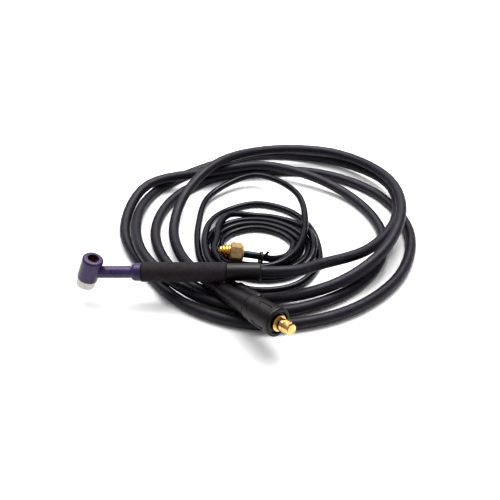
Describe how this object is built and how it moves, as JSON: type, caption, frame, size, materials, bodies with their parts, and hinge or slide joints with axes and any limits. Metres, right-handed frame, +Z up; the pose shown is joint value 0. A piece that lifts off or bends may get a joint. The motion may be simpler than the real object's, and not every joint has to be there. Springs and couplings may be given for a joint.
{
  "type": "tig torch",
  "caption": "TIG welding torch with a tubular handle and angled head, its power cable coiled to a bayonet plug and its gas hose coiled to a union nut.",
  "frame": {"origin": "middle of the head's through bore, where the bore's axis crosses the torch's own axis", "axes": "+X along the handle towards the cable, +Z up from the floor that the leads lie on, +Y to the far side"},
  "size_m": [0.4029, 0.4348, 0.0593],
  "materials": {
    "moulding": "smooth dark violet moulding",
    "copper": "bare copper",
    "ptfe": "waxy off-white",
    "brass": "machined",
    "seal": "matt black",
    "steel": "plated",
    "handle": "fine dotted grip texture",
    "sleeve": "satin",
    "cable_jacket": "satin, dark grey-black",
    "plug_rubber": "satin moulded rubber",
    "polished_brass": "polished",
    "gas_hose": "glossy near-black",
    "dull_brass": "dull, slightly oxidised",
    "tie": "black nylon"
  },
  "bodies": {
    "torch": {"head_cover": "moulding", "head_body": "copper", "front_insulator": "ptfe", "neck_tube": "copper", "neck_connector": "brass", "seal_washer": "seal", "cable_union_nut": "brass", "cable_stem": "brass", "cable_ferrule": "steel", "cable_end_torch": "cable_jacket", "torch_conductor": "copper", "handle_ring": "seal", "handle_shell": "handle", "cable_sleeve": "sleeve", "power_cable": "cable_jacket", "cable_end_plug": "cable_jacket", "plug_conductor": "copper", "conductor_ferrule": "steel", "plug_clamp_body": "brass", "clamp_screws": "steel", "plug_boot": "plug_rubber", "plug_barrel": "plug_rubber", "plug_front_ring": "plug_rubber", "plug_pin": "polished_brass", "gas_takeoff": "brass", "hose_end_branch": "gas_hose", "gas_hose": "gas_hose", "hose_end_nut": "gas_hose", "gas_nipple": "polished_brass", "cable_tie": "tie"},
    "gas_nut": {"gas_nut": "dull_brass"}
  },
  "joints": [
    {"name": "gas_nut_spin", "type": "hinge", "parent": "torch", "child": "gas_nut", "pos_m": [0.1592, 0.0552, -0.0157], "axis": [-0.9848, 0, 0.1736], "continuous": true}
  ]
}
